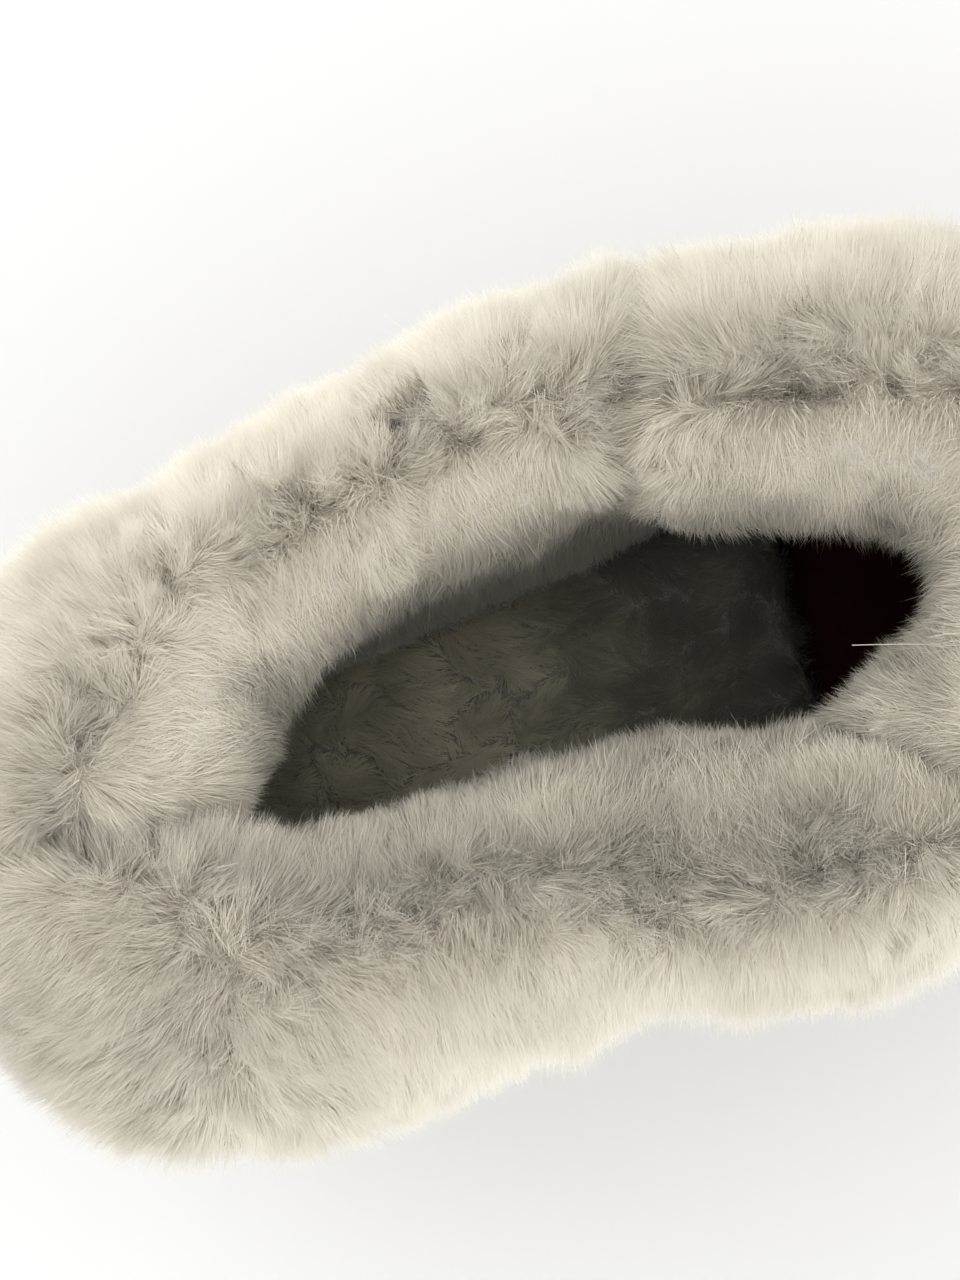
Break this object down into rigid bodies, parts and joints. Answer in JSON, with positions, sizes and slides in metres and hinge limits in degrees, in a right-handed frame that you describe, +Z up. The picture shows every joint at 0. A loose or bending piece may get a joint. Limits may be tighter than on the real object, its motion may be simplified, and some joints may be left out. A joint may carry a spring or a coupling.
{
  "type": "fur-lined sneaker",
  "caption": "Low slip-on sneaker with a thick turned fur cuff, fur-covered insole, plain leather upper and a cup sole with a treaded outsole.",
  "frame": {"origin": "on the floor under the middle of the heel seat", "axes": "+X to the toe, +Y to the outer (lateral) side of this left shoe, +Z up"},
  "size_m": [0.2864, 0.1118, 0.109],
  "materials": {
    "outsole": "matt gum rubber, grooved",
    "midsole": "matt cream rubber",
    "upper": "smooth dark red leather",
    "insole": "smooth dark red lining leather",
    "fur_insole": "short dense cream fur",
    "fur_lateral": "long soft cream fur",
    "fur_medial": "long soft cream fur",
    "fur_vamp": "long soft cream fur"
  },
  "bodies": {
    "root": {"outsole": "outsole", "midsole": "midsole", "upper": "upper", "insole": "insole", "fur_insole": "fur_insole", "fur_lateral": "fur_lateral", "fur_medial": "fur_medial", "fur_vamp": "fur_vamp"}
  },
  "joints": []
}
